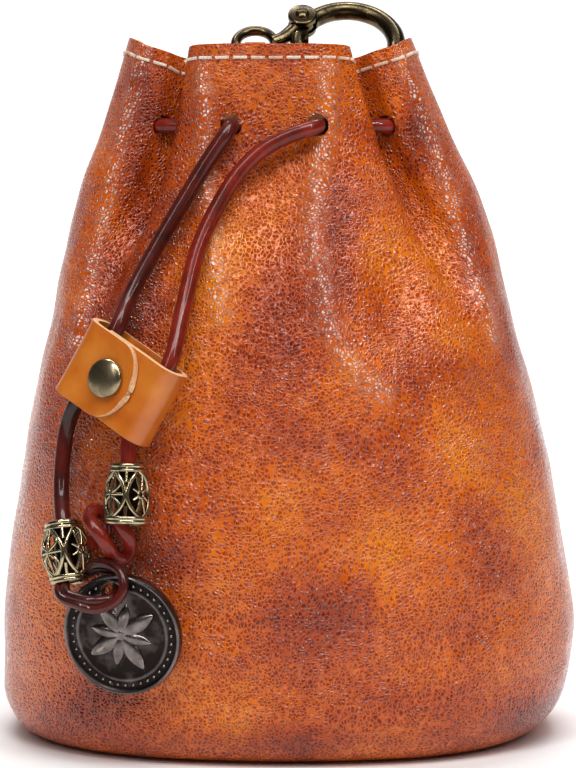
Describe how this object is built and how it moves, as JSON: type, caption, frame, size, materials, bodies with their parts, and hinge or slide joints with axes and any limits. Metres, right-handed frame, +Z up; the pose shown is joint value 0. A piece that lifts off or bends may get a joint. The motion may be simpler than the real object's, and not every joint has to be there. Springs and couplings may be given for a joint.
{
  "type": "medieval belt pouch",
  "caption": "Gathered leather drawstring belt pouch with an oval base, cord slider, two pierced beads, a disc pendant and a sprung snap hook.",
  "frame": {"origin": "centre of the underside of the base", "axes": "+Z up, the front with the slider and pendant faces -Y, +X to the right of the front view"},
  "size_m": [0.1057, 0.08, 0.1346],
  "materials": {
    "leather": "glossy pebbled full-grain leather, orange tan clouded with dark red brown",
    "strap_leather": "smooth light tan leather",
    "cord": "glossy dark red-brown round leather cord",
    "antique_brass": "blackened brass with rubbed edges",
    "rivet_brass": "polished pale antique brass",
    "dark_pewter": "dark patinated pewter"
  },
  "bodies": {
    "pouch": {"pouch_body": "leather", "pouch_base": "leather", "drawstring_lacing": "cord", "drawstring_tail_left": "cord", "drawstring_tail_right": "cord", "slider_strap": "strap_leather", "slider_rivet": "rivet_brass", "bell_bead": "antique_brass", "barrel_bead": "antique_brass", "cord_knot": "cord", "pendant_loop": "cord", "pendant_disc": "dark_pewter", "hook_body": "antique_brass", "hook_pin": "antique_brass", "hanger_tab": "strap_leather", "hanger_rivet": "rivet_brass"},
    "gate": {"hook_gate": "antique_brass"}
  },
  "joints": [
    {"name": "hook_gate_hinge", "type": "hinge", "parent": "pouch", "child": "gate", "pos_m": [0.00269, 0.01463, 0.13083], "axis": [0, -0.7071, 0.7071], "range_deg": [0, 35], "stiffness_Nm_per_rad": 0.01, "springref_deg": -17.19}
  ]
}
